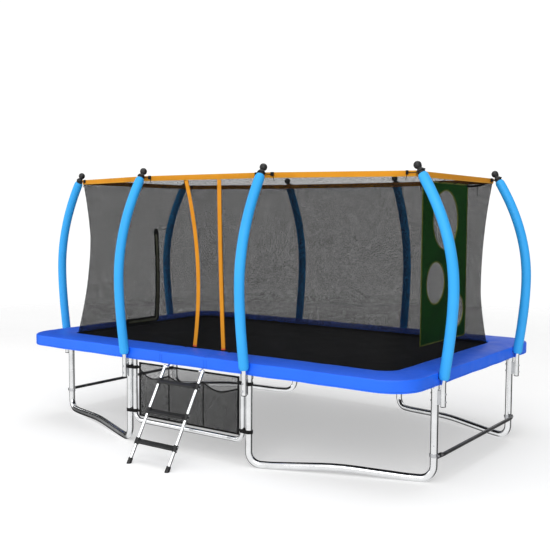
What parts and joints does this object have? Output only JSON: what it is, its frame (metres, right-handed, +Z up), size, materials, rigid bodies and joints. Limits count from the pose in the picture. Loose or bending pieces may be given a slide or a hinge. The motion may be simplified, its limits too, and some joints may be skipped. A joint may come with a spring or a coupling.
{
  "type": "trampoline",
  "caption": "Rectangular garden trampoline on U-shaped corner legs, with bowed foam-covered poles, a net enclosure with a flap doorway, a padded rim, a ball target, a shoe bag and a ladder.",
  "frame": {"origin": "on the ground, under the centre of the whole footprint, ladder included", "axes": "+X along the long side, +Y from the ladder side to the back, +Z up"},
  "size_m": [4.538, 3.3972, 2.5073],
  "materials": {
    "steel": "bright zinc plated tube",
    "foam": "sky blue foam sleeve in a thin smooth cover",
    "black_plastic": "moulded black plastic",
    "mat_cloth": "black woven mat",
    "pad_cover": "blue coated cloth with a slight sheen",
    "net_mesh": "dark grey knitted mesh",
    "band_webbing": "orange woven band",
    "target_cloth": "dark green cloth",
    "bag_mesh": "dark grey mesh with black binding"
  },
  "bodies": {
    "frame": {"corner_rail_front_left": "steel", "corner_rail_front_right": "steel", "corner_rail_back_right": "steel", "corner_rail_back_left": "steel", "side_rail_front": "steel", "side_rail_back": "steel", "side_rail_left": "steel", "side_rail_right": "steel", "corner_leg_front_left": "steel", "corner_leg_front_right": "steel", "corner_leg_back_right": "steel", "corner_leg_back_left": "steel", "u_brace_front": "steel", "u_brace_back": "steel", "tie_bar_left": "steel", "tie_bar_right": "steel", "pole_left_front": "steel", "pole_front_left": "steel", "pole_front_right": "steel", "pole_right_front": "steel", "pole_right_back": "steel", "pole_back_right": "steel", "pole_back_left": "steel", "pole_left_back": "steel", "foam_sleeve_left_front": "foam", "foam_sleeve_front_left": "foam", "foam_sleeve_front_right": "foam", "foam_sleeve_right_front": "foam", "foam_sleeve_right_back": "foam", "foam_sleeve_back_right": "foam", "foam_sleeve_back_left": "foam", "foam_sleeve_left_back": "foam", "pole_cap_left_front": "black_plastic", "pole_cap_front_left": "black_plastic", "pole_cap_front_right": "black_plastic", "pole_cap_right_front": "black_plastic", "pole_cap_right_back": "black_plastic", "pole_cap_back_right": "black_plastic", "pole_cap_back_left": "black_plastic", "pole_cap_left_back": "black_plastic", "spring_pad": "pad_cover", "safety_net": "net_mesh", "top_band": "band_webbing", "target_panel": "target_cloth", "storage_bag": "bag_mesh", "ladder_hook_left": "steel", "ladder_hook_right": "steel"},
    "mat": {"jumping_mat": "mat_cloth"},
    "door_outer": {"door_flap_outer": "net_mesh"},
    "door_inner": {"door_flap_inner": "net_mesh"},
    "zip_flap": {"zip_door": "net_mesh"},
    "zip_pull": {"zip_slider": "black_plastic"},
    "ladder": {"ladder_rail_left": "steel", "ladder_foot_left": "black_plastic", "ladder_rail_right": "steel", "ladder_foot_right": "black_plastic", "ladder_tread_low": "black_plastic", "ladder_tread_middle": "black_plastic", "ladder_tread_top": "black_plastic"}
  },
  "joints": [
    {"name": "mat_bounce", "type": "slide", "parent": "frame", "child": "mat", "axis": [0, 0, -1], "range_m": [0, 0.3], "stiffness_N_per_m": 5000, "springref_m": -0.06},
    {"name": "door_outer_swing", "type": "hinge", "parent": "frame", "child": "door_outer", "pos_m": [0.2, -0.98339, 0.889], "axis": [0, 0, 1], "range_deg": [0, 80], "stiffness_Nm_per_rad": 1.5, "springref_deg": -8.59},
    {"name": "door_inner_swing", "type": "hinge", "parent": "frame", "child": "door_inner", "pos_m": [-0.2, -0.80539, 0.849], "axis": [0, -0.0686, 0.9976], "range_deg": [0, 80], "stiffness_Nm_per_rad": 1.5, "springref_deg": -8.59},
    {"name": "zip_flap_fold", "type": "hinge", "parent": "frame", "child": "zip_flap", "pos_m": [-1.8205, -0.08739, 0.902], "axis": [0.0038, 0.428, 0.9038], "range_deg": [0, 90]},
    {"name": "zip_pull_slide", "type": "slide", "parent": "frame", "child": "zip_pull", "axis": [0.065, 0, -0.9979], "range_m": [0, 0.3]},
    {"name": "ladder_swing", "type": "hinge", "parent": "frame", "child": "ladder", "pos_m": [0.02, -1.23039, 0.755], "axis": [-1, 0, 0], "range_deg": [0, 55]}
  ]
}
